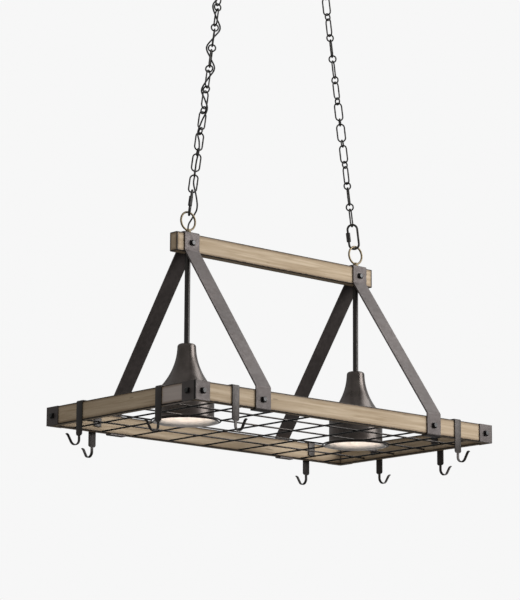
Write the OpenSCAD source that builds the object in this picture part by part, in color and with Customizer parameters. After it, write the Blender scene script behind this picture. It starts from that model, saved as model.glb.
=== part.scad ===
// Hanging pot rack: a wood frame with a wire grid, two bell lamps, eight
// pot hooks and a top beam, hung on two chains from a long ceiling canopy.
// X runs along the long rails, Y across them, Z up.
// The origin is the middle of the canopy's top face, against the ceiling.

/* [Frame] */
// Length over the corner brackets
frame_l = 1067; // [940:1:1300]
// Width over the corner brackets
frame_w = 603; // [520:1:760]
// Height of the rails
rail_h = 49; // [42:1:64]
// Thickness of the rails
rail_t = 19; // [17:0.5:28]
// Chamfer on the long edges of the wood
wood_ease = 1.5; // [1:0.1:2.5]

/* [Corner brackets] */
// Plate thickness of the brackets
bracket_t = 3; // [2:0.5:4]
// Length of each leg, outside
bracket_leg = 50; // [40:1:65]
// Distance of the bolts past the inner corner of the rails
bracket_bolt = 5; // [4:0.5:9]

/* [Top beam] */
// Length of the beam
beam_l = 711; // [690:1:900]
// Height of the beam
beam_h = 51; // [40:1:64]
// Thickness of the beam
beam_t = 29; // [26:0.5:40]
// Underside of the beam above the underside of the rails
beam_rise = 451; // [400:1:520]

/* [Yokes] */
// Distance of each yoke and lamp from the middle
lamp_x = 306; // [280:1:330]
// Width of the strap
yoke_w = 50; // [40:1:60]
// Thickness of the strap
yoke_t = 4; // [3:0.5:5]
// Straight length above the rail before the strap slants
yoke_rise = 8; // [6:1:16]
// Depth of the foot under the rail
yoke_foot = 18; // [12:1:22]

/* [Square bolts] */
// Shank diameter
bolt_d = 6; // [5:0.5:7]
// Width of the square head
bolt_head_w = 13; // [11:0.5:15]
// Height of the square head
bolt_head_h = 7; // [5:0.5:9]
// Screw length in the rails
bolt_grip = 13; // [10:0.5:15]
// Screw length in the beam
beam_grip = 7; // [5:0.5:7.5]

/* [Wire grid] */
// Wire diameter
wire_d = 4.5; // [3.5:0.5:5]
// Height of the cross wires' middle above the rails' underside
wire_z = 2.5; // [2.5:0.1:6]
// Spacing of the four long wires
long_pitch = 120; // [105:1:130]
// Gap between the two cross wires beside each lamp
lamp_gap = 109; // [95:1:120]
// Distance of the last cross wire from the end rail
end_gap = 58; // [45:1:70]
// Depth of the wires in the rails
wire_seat = 12; // [6:0.5:13]
// Diameter of the ring round each shade, to the wire's axis
shade_ring_d = 181; // [180:0.5:190]

/* [Lamps] */
// Outer diameter of the shade's body
shade_d = 147; // [135:1:150]
// Outer diameter of the shade's neck
neck_d = 49; // [44:1:52]
// Height of the shade's top above the rails' underside
shade_top = 208; // [195:1:230]
// Height of the shade's mouth above the rails' underside
shade_mouth = 0.5; // [0:0.5:6]
// Outer diameter of the brim
brim_d = 173; // [165:1:174]
// Radius of the concave flare
flare_r = 164; // [150:1:175]
// Radius between the flare and the body
shoulder_r = 10; // [6:1:14]
// Radius on the edge of the cap
cap_r = 8; // [5:1:10]
// Sheet thickness of the shade
sheet_t = 1.4; // [1:0.1:2]
// Diameter of the downrod
rod_d = 15; // [14:0.5:18]
// Wall of the downrod
rod_wall = 1.2; // [1:0.1:1.6]
// Diameter of the threaded pipes
pipe_d = 10; // [9:0.5:10]
// Bore of the threaded pipes
pipe_bore = 7; // [6:0.5:7.5]
// Diameter of the lamp socket
socket_d = 35; // [32:1:36]
// Length of the lamp socket
socket_l = 52; // [46:1:56]
// Diameter of the bulb
bulb_d = 60; // [50:1:64]
// Distance of the bulb's tip above the shade's mouth
bulb_lift = 33; // [26:1:45]

/* [Eyes and quick links] */
// Radius of the eye to the wire's axis
eye_r = 24.3; // [22:0.1:27]
// Wire diameter of the eye
eye_wire = 5.5; // [5:0.1:6]
// Height of the neck from its seat to the eye's wire
neck_h = 8; // [7:0.5:10]
// Width of the neck at its seat
neck_seat_d = 17; // [15:0.5:20]
// Outer length of a quick link
quick_l = 74.3; // [70:0.1:82]
// Outer width of a quick link
quick_w = 33; // [31:0.5:36]
// Wire diameter of a quick link
quick_wire = 6; // [5:0.1:6.4]
// Length of the sleeve nut
sleeve_l = 26; // [24:0.5:27]
// Width of the sleeve nut over its flats
sleeve_w = 10.4; // [9.8:0.1:11]
// Opening in the quick link's leg, under the sleeve nut
quick_mouth = 9; // [7:0.5:10]

/* [Chains] */
// Number of long links in each chain
chain_links = 12; // [8:1:14]
// Outer length of a long link
link_l = 52.8; // [48:0.1:58]
// Outer width of a long link
link_w = 25; // [23:0.1:28]
// Outer diameter of a round ring
ring_d = 22.5; // [21:0.1:26]
// Wire diameter of the links and rings
link_wire = 3.6; // [3:0.1:4]
// Lean of the chains towards each other, in degrees
chain_lean = 9; // [5:0.1:11]
// Turn of the left chain's first ring, in degrees
left_face = 48; // [30:1:60]
// Twist of the left chain for each pair, in degrees
left_twist = 15; // [0:1:30]
// Turn of the right chain's first ring, in degrees
right_face = -47; // [-60:1:-30]
// Twist of the right chain for each pair, in degrees
right_twist = 25.7; // [0:0.1:30]

/* [Pot hooks] */
// Distance of the hooks on the long rails from the middle
hook_x = 398; // [380:1:430]
// Distance of the hooks on the short rails from the middle
hook_y = 160; // [60:1:190]
// The same on the back rail's left half
back_left_x = 379; // [370:1:430]
// The same on the right rail's front half
right_front_y = 103; // [60:1:190]
// The same on the right rail's back half
right_back_y = 139; // [60:1:190]
// Width of the strap
hook_w = 23.5; // [20:0.5:28]
// Strap thickness
hook_t = 3; // [2.5:0.1:3.5]
// Width of the narrow tail
hook_tail_w = 8; // [6:0.5:12]
// Length of the wide strap below the rail
hook_drop = 40; // [30:1:45]
// Bottom of the inner lip above the rails' underside
hook_lip = 13; // [12.5:0.5:20]
// Bottom of the hook below the rails' underside
hook_depth = 67; // [62:1:75]
// Reach of the hook's tip from its strap
hook_reach = 45; // [40:1:55]
// Radius of the hook's bend, to the middle of the strip
hook_bend = 13; // [10:0.5:14]
// Height of a hook's tip above its lowest point
hook_curl = 29; // [25:1:34]

/* [Ceiling canopy] */
// Length of the canopy
canopy_l = 460; // [440:1:560]
// Width of the canopy
canopy_w = 110; // [90:1:130]
// Depth of the canopy
canopy_h = 26; // [20:1:40]
// Sheet thickness of the canopy
canopy_t = 1.6; // [1.2:0.1:2.5]
// Radius of the canopy's corners
canopy_r = 14; // [8:1:20]
// Width of the mounting bar
bar_w = 40; // [32:1:50]
// Thickness of the mounting bar
bar_t = 4; // [3:0.5:5]
// Spacing of the ceiling box screws
box_pitch = 88.9; // [80:0.1:120]
// Spacing of the joist screws
joist_pitch = 280; // [240:1:300]

/* [Cord] */
// Diameter of the supply cord
cord_d = 4.5; // [4:0.1:4.5]

/* [Clearances] */
// Running gap between chain pieces and under each hook's saddle
run_gap = 0.3; // [0.2:0.05:0.5]
// Radial gap round screws, pipes and wires in their holes
hole_gap = 0.2; // [0.1:0.05:0.4]
// Gap between each side of the rail and a hook
hook_gap = 0.4; // [0.2:0.05:0.6]

/* [Hidden] */
$fn = 64;

// Frame
wood_l = frame_l - 2 * bracket_t;
wood_w = frame_w - 2 * bracket_t;
inner_l = wood_l - 2 * rail_t;
inner_w = wood_w - 2 * rail_t;
bolt_inset = bracket_t + rail_t + bracket_bolt;
bolt_x = frame_l / 2 - bolt_inset;
bolt_y = frame_w / 2 - bolt_inset;
bolt_z = rail_h / 2;

// Beam and yokes
beam_top = beam_rise + beam_h;
beam_bolt_z = beam_rise + beam_h / 2;
yoke_top = beam_top + yoke_t;

// Grid
weld_gap = 0.05;
long_z = wire_z + wire_d + weld_gap;
shade_ring_z = (wire_z + long_z) / 2;
cross_x = [
  0,
  (lamp_x - lamp_gap / 2) / 2,
  lamp_x - lamp_gap / 2,
  lamp_x + lamp_gap / 2,
  inner_l / 2 - end_gap
];

// Bends and fasteners
bend_steps = 6;
nut_w = 16;
nut_h = 6;
pipe_seat = 14;
cord_hole_d = cord_d + 1.5;
bulb_base_d = 26;
bulb_base_l = 26;
box_screw_d = 5.2;
joist_screw_d = 6.4;

// Suspension, measured from the eye's centre along the leaning chain
eye_z = yoke_top + neck_h + eye_r;
eye_play = 0.5;
quick_low = eye_r - (eye_wire + quick_wire) / 2 - eye_play;
quick_mid = quick_low + (quick_l - quick_wire) / 2;
quick_high = quick_low + quick_l - quick_wire;
link_span = link_l - link_wire;
ring_span = ring_d - link_wire;
nest = link_wire + run_gap;
chain_pitch = link_span + ring_span - 2 * nest;
first_link = quick_high - (quick_wire + link_wire) / 2 - run_gap + link_span / 2;
first_ring = first_link + link_span / 2 - nest + ring_span / 2;
chain_end = first_link + chain_pitch * (chain_links - 1) + link_span / 2;
loop_low = chain_end - (link_wire + eye_wire) / 2 - run_gap;
loop_mid = loop_low + eye_r;
loop_x = lamp_x - loop_mid * sin(chain_lean);
loop_z = eye_z + loop_mid * cos(chain_lean);
canopy_low = loop_z + eye_r + neck_h;
drop = canopy_low + canopy_h;

// Quick link sleeve
sleeve_travel = (quick_l - quick_w - sleeve_l) / 2 - 0.5;
mouth_high = sleeve_l / 2 - 1;

// Cord: its tail and its top in the eye and the loop, from their centres
cord_sides = 8;
cord_ring = 12;
cord_end = 0.9;
tail_route = [
  [23, 0, 24], [21.5, 5.5, 16], [17, 8.5, 6.5], [10, 7.5, -3],
  [3.5, 3, -11.5], [0, 0, -20], [0, 0, -27]
];
top_route = [
  [-23, 0, -24], [-21.5, 5.5, -16], [-17, 8.5, -6.5], [-10, 7.5, 3],
  [-3.5, 3, 11.5], [0, 0, 20], [0, 0, 27]
];

// Cord: beside the quick link, then through the hole of every long link
woven_route = [
  [19, 0, 27.3], [19, -5.5, 37], [15.5, -9.5, 49], [10, -11.5, 61.5],
  [5, -11.5, 74], [1, -9.5, 86.5], [-0.5, -4.5, 99], [2.5, 3, 114],
  [10, 11.3, 137], [0, 0, 166.5], [-6.7, -13.2, 196.5], [0, 0, 227],
  [3, 14.6, 257], [0, 0, 287], [0.8, -14.8, 317], [0, 0, 347.5],
  [-4.6, 14.2, 377.5], [0, 0, 407.5], [8.1, -12.5, 437.5], [0, 0, 468],
  [-11, 10, 498], [0, 0, 528], [13.2, -6.8, 558.5], [0, 0, 588.5],
  [-14.6, 3.1, 618.5], [0, 0, 648.5], [14.8, 0.8, 679], [0, 0, 709],
  [-14.9, -5, 739], [-19, -6.5, 757], [-20, -5, 773], [-19, 0, 786]
];

// Shade
body_r = shade_d / 2;
flare_x = neck_d / 2 + flare_r;
flare_z = shade_top - 3;
shoulder_x = body_r - shoulder_r;
shoulder_z = flare_z - sqrt(pow(flare_r + shoulder_r, 2) - pow(flare_x - shoulder_x, 2));
bead_r = 2;
brim_fillet = brim_d / 2 - bead_r - body_r;
brim_z = shade_mouth + bead_r + sheet_t / 2 + brim_fillet;
socket_top = shade_top - sheet_t - 8;

// Colours
wood = [0.70, 0.62, 0.50];
pewter = [0.33, 0.31, 0.30];
dark = [0.16, 0.15, 0.14];
bronze = [0.58, 0.52, 0.42];
cream = [0.95, 0.93, 0.86];
black = [0.08, 0.08, 0.08];

// ---------- shared shapes ----------

module at_rack() {
  translate([0, 0, -drop]) children();
}

// A board along X, standing on z = 0, with eased long edges
module board(length, height, thick) {
  e = wood_ease;
  y = thick / 2;
  rotate([90, 0, 90])
    linear_extrude(length, center = true)
      polygon([
        [-y + e, 0], [y - e, 0], [y, e], [y, height - e],
        [y - e, height], [-y + e, height], [-y, height - e], [-y, e]
      ]);
}

// Square-head screw: seat at the origin, head towards +Z, shank down
module square_bolt(grip) {
  intersection() {
    translate([-bolt_head_w / 2, -bolt_head_w / 2, 0])
      cube([bolt_head_w, bolt_head_w, bolt_head_h]);
    cylinder(r1 = bolt_head_w, r2 = bolt_head_w * 0.42, h = bolt_head_h);
  }
  translate([0, 0, -grip]) cylinder(d = bolt_d, h = grip + 1);
}

// Hex nut on the XY plane, centred on Z
module hex_nut(width, height, bore) {
  difference() {
    cylinder(d = width / cos(30), h = height, $fn = 6);
    translate([0, 0, -1]) cylinder(d = bore, h = height + 2);
  }
}

// Ring in the XZ plane
module wire_ring(radius, wire) {
  rotate([90, 0, 0])
    rotate_extrude()
      translate([radius, 0]) circle(d = wire);
}

// Oval link in the XZ plane, its long axis along Z
module oval_link(length, width, wire) {
  bend = (width - wire) / 2;
  half = (length - width) / 2;
  for (s = [0, 180])
    rotate([0, s, 0])
      translate([0, 0, half])
        rotate([90, 0, 0])
          rotate_extrude(angle = 180)
            translate([bend, 0]) circle(d = wire);
  for (s = [-1, 1])
    translate([s * bend, 0, -half]) cylinder(d = wire, h = 2 * half);
}

// ---------- frame ----------

module wire_groove() {
  width = wire_d + 2 * hole_gap;
  translate([-1, 0, 0])
    rotate([0, 90, 0]) cylinder(d = width, h = wire_seat + 1.5);
  translate([-1, -width / 2, -wire_z - 1]) cube([wire_seat + 1.5, width, wire_z + 1]);
}

module long_rail(side) {
  color(wood) at_rack()
    difference() {
      translate([0, side * (wood_w - rail_t) / 2, 0]) board(wood_l, rail_h, rail_t);
      for (x = [-bolt_x, -lamp_x, lamp_x, bolt_x])
        translate([x, side * wood_w / 2, bolt_z])
          rotate([side * 90, 0, 0])
            translate([0, 0, -1])
              cylinder(d = bolt_d + 2 * hole_gap, h = bolt_grip + 2);
      for (x = cross_x, s = [-1, 1])
        translate([s * x, side * inner_w / 2, wire_z])
          rotate([0, 0, side * 90]) wire_groove();
    }
}

module short_rail(side) {
  color(wood) at_rack()
    difference() {
      translate([side * (wood_l - rail_t) / 2, 0, 0])
        rotate([0, 0, 90]) board(inner_w, rail_h, rail_t);
      for (y = [-bolt_y, bolt_y])
        translate([side * wood_l / 2, y, bolt_z])
          rotate([0, side * -90, 0])
            translate([0, 0, -1])
              cylinder(d = bolt_d + 2 * hole_gap, h = bolt_grip + 2);
      for (k = [-1.5:1:1.5])
        translate([side * (inner_l / 2 + wire_seat + 0.5), k * long_pitch, long_z])
          rotate([0, side * -90, 0])
            cylinder(d = wire_d + 2 * hole_gap, h = wire_seat + 2);
    }
}

// Folded plate over one corner of the frame
module corner_bracket(sx, sy) {
  bend = bracket_t + 1;
  color(pewter) at_rack()
    translate([sx * frame_l / 2, sy * frame_w / 2, 0])
      mirror([sx < 0 ? 1 : 0, 0, 0]) mirror([0, sy < 0 ? 1 : 0, 0])
        difference() {
          linear_extrude(rail_h)
            difference() {
              union() {
                translate([-bracket_leg, -bend]) square([bracket_leg - bend, bend]);
                translate([-bend, -bracket_leg]) square([bend, bracket_leg - bend]);
                intersection() {
                  translate([-bend, -bend]) circle(r = bend);
                  translate([-bend, -bend]) square(bend);
                }
              }
              translate([-bracket_leg - 1, -bracket_leg - 1])
                square(bracket_leg + 1 - bracket_t);
            }
          translate([-bolt_inset, 1, bolt_z])
            rotate([90, 0, 0]) cylinder(d = bolt_d + 2 * hole_gap, h = bend + 2);
          translate([1, -bolt_inset, bolt_z])
            rotate([0, -90, 0]) cylinder(d = bolt_d + 2 * hole_gap, h = bend + 2);
        }
}

module corner_bolts() {
  color(dark) at_rack()
    for (sx = [-1, 1], sy = [-1, 1]) {
      translate([sx * bolt_x, sy * frame_w / 2, bolt_z])
        rotate([-sy * 90, 0, 0]) square_bolt(bracket_t + bolt_grip);
      translate([sx * frame_l / 2, sy * bolt_y, bolt_z])
        rotate([0, sx * 90, 0]) square_bolt(bracket_t + bolt_grip);
    }
}

// Welded wires, let into holes in the rails, with a ring round each shade
module at_rings() {
  for (s = [-1, 1])
    translate([s * lamp_x, 0, shade_ring_z]) children();
}

module shade_ring(wire) {
  rotate_extrude() translate([shade_ring_d / 2, 0]) circle(d = wire);
}

module between_rings() {
  difference() {
    children();
    at_rings() {
      cylinder(d = shade_ring_d, h = 3 * wire_d, center = true);
      shade_ring(wire_d + 2 * weld_gap);
    }
  }
}

module long_wires() {
  reach = inner_l / 2 + wire_seat;
  color(dark) at_rack()
    between_rings()
      for (k = [-1.5:1:1.5])
        translate([-reach, k * long_pitch, long_z])
          rotate([0, 90, 0]) cylinder(d = wire_d, h = 2 * reach);
}

module cross_wires() {
  reach = inner_w / 2 + wire_seat;
  color(dark) at_rack()
    between_rings()
      for (x = cross_x, s = x == 0 ? [1] : [-1, 1])
        translate([s * x, -reach, wire_z])
          rotate([-90, 0, 0]) cylinder(d = wire_d, h = 2 * reach);
}

module shade_rings() {
  color(dark) at_rack() at_rings() shade_ring(wire_d);
}

// ---------- bent strips ----------

function unit(v) = v / norm(v);
function left_of(v) = [-v[1], v[0]];
function turned(v, a) = [v[0] * cos(a) - v[1] * sin(a), v[0] * sin(a) + v[1] * cos(a)];

// Arc of radius r that rounds the corner b between a and c
function corner_arc(a, b, c, r) =
  let (
    u = unit(a - b),
    v = unit(c - b),
    half = acos(u * v) / 2,
    centre = b + unit(u + v) * r / sin(half),
    start = b + u * r / tan(half),
    way = sign(cross(b - a, c - b)),
    sweep = way * (180 - 2 * half)
  )
  [for (i = [0:bend_steps]) centre + turned(start - centre, sweep * i / bend_steps)];

// One side of a strip that follows the path at the given offset, to the left
function strip_side(path, offset, r) =
  let (
    last = len(path) - 1,
    ways = [for (i = [0:last - 1]) unit(path[i + 1] - path[i])],
    mitred = [
      for (i = [0:last])
        let (n0 = left_of(ways[max(i - 1, 0)]), n1 = left_of(ways[min(i, last - 1)]))
          path[i] + offset * (n0 + n1) / (1 + n0 * n1)
    ]
  )
  [
    mitred[0],
    for (i = [1:last - 1])
      each corner_arc(
        mitred[i - 1], mitred[i], mitred[i + 1],
        r - offset * sign(cross(ways[i - 1], ways[i]))
      ),
    mitred[last]
  ];

// Outline of a strip of thickness t along the path, bent at mid radius r
module strip(path, t, r) {
  near = strip_side(path, t / 2, r);
  far = strip_side(path, -t / 2, r);
  polygon(concat(near, [for (i = [len(far) - 1:-1:0]) far[i]]));
}

// ---------- beam and yokes ----------

module top_beam() {
  color(wood) at_rack()
    difference() {
      translate([0, 0, beam_rise]) board(beam_l, beam_h, beam_t);
      for (s = [-1, 1]) {
        translate([s * lamp_x, 0, beam_rise - 1])
          cylinder(d = pipe_d + 2 * hole_gap, h = beam_h + 2);
        for (side = [-1, 1])
          translate([s * lamp_x, side * beam_t / 2, beam_bolt_z])
            rotate([side * 90, 0, 0])
              translate([0, 0, -1])
                cylinder(d = bolt_d + 2 * hole_gap, h = beam_grip + 1.5);
      }
    }
}

// One strap: foot, rail, slant, over the beam and down the other side
module yoke(side) {
  y_rail = wood_w / 2 + yoke_t / 2;
  y_beam = beam_t / 2 + yoke_t / 2;
  front = [
    [-(wood_w / 2 - yoke_foot), -yoke_t / 2],
    [-y_rail, -yoke_t / 2],
    [-y_rail, rail_h + yoke_rise],
    [-y_beam, beam_rise + yoke_t],
    [-y_beam, beam_top + yoke_t / 2]
  ];
  path = concat(front, [for (i = [len(front) - 1:-1:0]) [-front[i][0], front[i][1]]]);
  color(pewter) at_rack()
    translate([side * lamp_x, 0, 0])
      difference() {
        rotate([90, 0, 90])
          linear_extrude(yoke_w, center = true) strip(path, yoke_t, wood_ease + yoke_t / 2);
        translate([0, 0, beam_top - 1]) cylinder(d = pipe_d + 2 * hole_gap, h = yoke_t + 2);
        for (s = [-1, 1]) {
          translate([0, s * (beam_t / 2 - 1), beam_bolt_z])
            rotate([-s * 90, 0, 0]) cylinder(d = bolt_d + 2 * hole_gap, h = yoke_t + 2);
          translate([0, s * (wood_w / 2 - 1), bolt_z])
            rotate([-s * 90, 0, 0]) cylinder(d = bolt_d + 2 * hole_gap, h = yoke_t + 2);
        }
      }
}

module rail_bolts() {
  color(dark) at_rack()
    for (x = [-lamp_x, lamp_x], s = [-1, 1])
      translate([x, s * (wood_w / 2 + yoke_t), bolt_z])
        rotate([-s * 90, 0, 0]) square_bolt(yoke_t + bolt_grip);
}

module beam_bolts() {
  color(dark) at_rack()
    for (x = [-lamp_x, lamp_x], s = [-1, 1])
      translate([x, s * (beam_t / 2 + yoke_t), beam_bolt_z])
        rotate([-s * 90, 0, 0]) square_bolt(yoke_t + beam_grip);
}

// ---------- lamps ----------

module downrod(side) {
  plug = 16;
  length = beam_rise - shade_top;
  color(pewter) at_rack()
    translate([side * lamp_x, 0, shade_top])
      difference() {
        cylinder(d = rod_d, h = length);
        translate([0, 0, plug]) cylinder(d = rod_d - 2 * rod_wall, h = length - 2 * plug);
        translate([0, 0, -1]) cylinder(d = pipe_d + 2 * hole_gap, h = length + 2);
      }
}

// Half section of the space inside the shade's outer face, inset by t
module bell_section(t) {
  reach = flare_r + shoulder_r;
  touch_x = shoulder_x + (shoulder_r - t) * (flare_x - shoulder_x) / reach;
  top = shade_top - t;
  edge_z = shade_top - cap_r;
  edge_x = flare_x - sqrt(pow(flare_r + cap_r, 2) - pow(flare_z - edge_z, 2));
  edge_touch = edge_z + (cap_r - t) * (flare_z - edge_z) / (flare_r + cap_r);
  translate([0, brim_z]) square([body_r - t, shoulder_z - brim_z]);
  intersection() {
    translate([shoulder_x, shoulder_z]) circle(r = shoulder_r - t);
    translate([0, brim_z]) square([body_r, shoulder_z + shoulder_r - brim_z]);
  }
  difference() {
    translate([0, shoulder_z]) square([touch_x, top - shoulder_z]);
    translate([flare_x, flare_z]) circle(r = flare_r + t);
    difference() {
      translate([edge_x, edge_touch]) square(body_r);
      translate([edge_x, edge_z]) circle(r = cap_r - t);
    }
  }
}

// Spun bell with a rolled brim
module shade(side) {
  brim_x = body_r + brim_fillet;
  color(pewter) at_rack()
    translate([side * lamp_x, 0, 0])
      rotate_extrude() {
        difference() {
          bell_section(0);
          bell_section(sheet_t);
          translate([0, brim_z - 1]) square([body_r - sheet_t, 2]);
          translate([0, shade_top - sheet_t - 1])
            square([pipe_d / 2 + hole_gap, sheet_t + 2]);
        }
        difference() {
          intersection() {
            translate([body_r - sheet_t, brim_z - brim_fillet - sheet_t])
              square([brim_fillet + sheet_t, brim_fillet + sheet_t]);
            translate([brim_x, brim_z]) circle(r = brim_fillet + sheet_t);
          }
          translate([brim_x, brim_z]) circle(r = brim_fillet);
        }
        translate([brim_x, shade_mouth + bead_r]) circle(r = bead_r);
      }
}

module threaded_pipes() {
  color(bronze) at_rack()
    for (x = [-lamp_x, lamp_x]) {
      pipe(x, beam_rise - pipe_seat, yoke_top + neck_h / 2);
      pipe(x, socket_top - pipe_seat / 2, shade_top + pipe_seat);
    }
}

module pipe(x, low, high) {
  translate([x, 0, low])
    difference() {
      cylinder(d = pipe_d, h = high - low);
      translate([0, 0, -1]) cylinder(d = pipe_bore, h = high - low + 2);
    }
}

module cap_nuts() {
  color(bronze) at_rack()
    for (x = [-lamp_x, lamp_x])
      translate([x, 0, shade_top - sheet_t - nut_h])
        hex_nut(nut_w, nut_h, pipe_d + 2 * hole_gap);
}

module socket(side) {
  color(dark) at_rack()
    translate([side * lamp_x, 0, socket_top - socket_l])
      difference() {
        union() {
          cylinder(d = socket_d, h = socket_l - 8);
          translate([0, 0, socket_l - 8]) cylinder(d1 = socket_d, d2 = socket_d * 0.7, h = 8);
        }
        translate([0, 0, -1]) cylinder(d = bulb_base_d + 2 * hole_gap, h = bulb_base_l + 3);
        translate([0, 0, socket_l - pipe_seat / 2 - 1])
          cylinder(d = pipe_d + 2 * hole_gap, h = pipe_seat);
      }
}

module bulb(side) {
  tip = shade_mouth + bulb_lift;
  globe = bulb_d / 2;
  base_low = socket_top - socket_l;
  middle = [0, tip + globe];
  collar = [bulb_base_d / 2 + 3, base_low - 16];
  reach = collar - middle;
  touch = atan2(reach[1], reach[0]) - acos(globe / norm(reach));
  color(cream) at_rack()
    translate([side * lamp_x, 0, 0])
      rotate_extrude() {
        intersection() {
          translate(middle) circle(r = globe);
          translate([0, tip]) square([globe, 2 * globe]);
        }
        polygon([
          middle, middle + globe * [cos(touch), sin(touch)],
          collar, [bulb_base_d / 2, base_low - 3], [0, base_low - 3]
        ]);
        translate([0, base_low - 4]) square([bulb_base_d / 2, bulb_base_l + 4]);
      }
}

// ---------- eyes, quick links and chains ----------

// Eye and neck without holes: the ring's centre at the origin, the seat below
module eye_body() {
  seat = -eye_r - neck_h;
  wire_ring(eye_r, eye_wire);
  translate([0, 0, seat]) cylinder(d = neck_seat_d, h = 3);
  translate([0, 0, seat + 3]) cylinder(d1 = neck_seat_d, d2 = cord_d + 5.5, h = neck_h);
}

module eye(side) {
  color(bronze) at_rack()
    translate([side * lamp_x, 0, yoke_top])
      difference() {
        translate([0, 0, neck_h + eye_r]) eye_body();
        translate([0, 0, -1]) cylinder(d = pipe_d + 2 * hole_gap, h = neck_h / 2 + 1.5);
        cylinder(d = cord_hole_d, h = neck_h + eye_wire);
      }
}

// Frame of one chain: origin at the eye's centre, Z up along the chain
module along_chain(side, distance, turn = 0) {
  at_rack()
    translate([side * lamp_x, 0, eye_z])
      rotate([0, -side * chain_lean, 0])
        translate([0, 0, distance])
          rotate([0, 0, turn]) children();
}

// Oval link with one leg open for the sleeve nut
module quick_link(side, turn) {
  color(dark)
    along_chain(side, quick_mid, turn)
      difference() {
        oval_link(quick_l, quick_w, quick_wire);
        translate([-quick_w / 2, 0, mouth_high - quick_mouth / 2])
          cube([quick_wire * 2.4, quick_wire * 2, quick_mouth], center = true);
      }
}

module sleeve_nut(side, turn) {
  cone = sleeve_l + sleeve_w;
  color(dark)
    along_chain(side, quick_mid, turn)
      translate([-(quick_w - quick_wire) / 2, 0, -sleeve_l / 2])
        difference() {
          intersection() {
            cylinder(d = sleeve_w / cos(30), h = sleeve_l, $fn = 6);
            cylinder(r1 = sleeve_w / 2, r2 = sleeve_w / 2 + cone, h = cone);
            translate([0, 0, sleeve_l - cone])
              cylinder(r1 = sleeve_w / 2 + cone, r2 = sleeve_w / 2, h = cone);
          }
          translate([0, 0, -1]) cylinder(d = quick_wire + 2 * hole_gap, h = sleeve_l + 2);
        }
}

// Each piece of a chain is turned a right angle and half the pair's twist
module chain_links_of(side, face, twist) {
  color(dark)
    for (k = [0:chain_links - 1])
      along_chain(side, first_link + k * chain_pitch, face + (2 * k - 1) * (90 + twist / 2))
        oval_link(link_l, link_w, link_wire);
}

module chain_rings_of(side, face, twist) {
  color(dark)
    for (k = [0:chain_links - 2])
      along_chain(side, first_ring + k * chain_pitch, face + 2 * k * (90 + twist / 2))
        wire_ring(ring_span / 2, link_wire);
}

// ---------- cord ----------

// Point between b and c on the smooth curve through a, b, c and d
function between(a, b, c, d, t) =
  b + (c - a) * t / 2
  + (2 * a - 5 * b + 4 * c - d) * pow(t, 2) / 2
  + (3 * b - a - 3 * c + d) * pow(t, 3) / 2;

// Evenly spaced points on the smooth curve through the route's points
function smooth(route) =
  let (
    last = len(route) - 1,
    q = concat([2 * route[0] - route[1]], route, [2 * route[last] - route[last - 1]])
  )
  [
    for (i = [1:last])
      let (steps = max(1, round(norm(q[i + 1] - q[i]) / cord_ring)))
        for (j = [0:steps - 1]) between(q[i - 1], q[i], q[i + 1], q[i + 2], j / steps),
    route[last]
  ];

// The same points, drawn in a little at both ends
function shortened(p) =
  let (last = len(p) - 1)
  [
    p[0] + cord_end * unit(p[1] - p[0]),
    for (i = [1:last - 1]) p[i],
    p[last] + cord_end * unit(p[last - 1] - p[last])
  ];

// Corners of the tube's cross-section at point p, square to the way t
function cord_section(p, t) =
  let (n = unit(cross(t, [1, 0, 0])), m = cross(t, n))
  [
    for (k = [0:cord_sides - 1])
      p + cord_d / 2 * (cos(k * 360 / cord_sides) * n + sin(k * 360 / cord_sides) * m)
  ];

module cord(route) {
  p = shortened(smooth(route));
  last = len(p) - 1;
  n = cord_sides;
  polyhedron(
    points = [
      for (i = [0:last]) each cord_section(p[i], unit(p[min(i + 1, last)] - p[max(i - 1, 0)]))
    ],
    faces = [
      [for (k = [0:n - 1]) k],
      for (i = [0:last - 1], k = [0:n - 1])
        let (j = (k + 1) % n)
          each [[i * n + k, i * n + n + k, i * n + n + j], [i * n + k, i * n + n + j, i * n + j]],
      [for (k = [n - 1:-1:0]) last * n + k]
    ]
  );
}

module cord_tail() {
  color(black) at_rack() translate([-lamp_x, 0, eye_z]) cord(tail_route);
}

module cord_woven() {
  color(black) along_chain(-1, 0) cord(woven_route);
}

module cord_top() {
  color(black) translate([-loop_x, 0, -canopy_h - neck_h - eye_r]) cord(top_route);
}

// ---------- ceiling canopy ----------

module rounded_plate(length, width, radius) {
  x = length / 2 - radius;
  y = width / 2 - radius;
  square([length, width - 2 * radius], center = true);
  square([length - 2 * radius, width], center = true);
  for (sx = [-1, 1], sy = [-1, 1])
    translate([sx * x, sy * y]) circle(r = radius);
}

module ceiling_canopy() {
  color(pewter)
    difference() {
      translate([0, 0, -canopy_h])
        linear_extrude(canopy_h) rounded_plate(canopy_l, canopy_w, canopy_r);
      translate([0, 0, -canopy_h + canopy_t])
        linear_extrude(canopy_h)
          rounded_plate(canopy_l - 2 * canopy_t, canopy_w - 2 * canopy_t, canopy_r - canopy_t);
      for (s = [-1, 1])
        translate([s * loop_x, 0, -canopy_h - 1])
          cylinder(d = pipe_d + 2 * hole_gap, h = canopy_t + 2);
    }
}

module mounting_bar() {
  color(bronze)
    difference() {
      translate([0, 0, -bar_t / 2])
        cube([2 * loop_x + bar_w, bar_w, bar_t], center = true);
      for (s = [-1, 1]) {
        translate([s * loop_x, 0, -bar_t - 1])
          cylinder(d = pipe_d + 2 * hole_gap, h = bar_t + 2);
        translate([s * box_pitch / 2, 0, -bar_t - 1])
          cylinder(d = box_screw_d, h = bar_t + 2);
        translate([s * joist_pitch / 2, 0, -bar_t - 1])
          cylinder(d = joist_screw_d, h = bar_t + 2);
      }
    }
}

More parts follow.
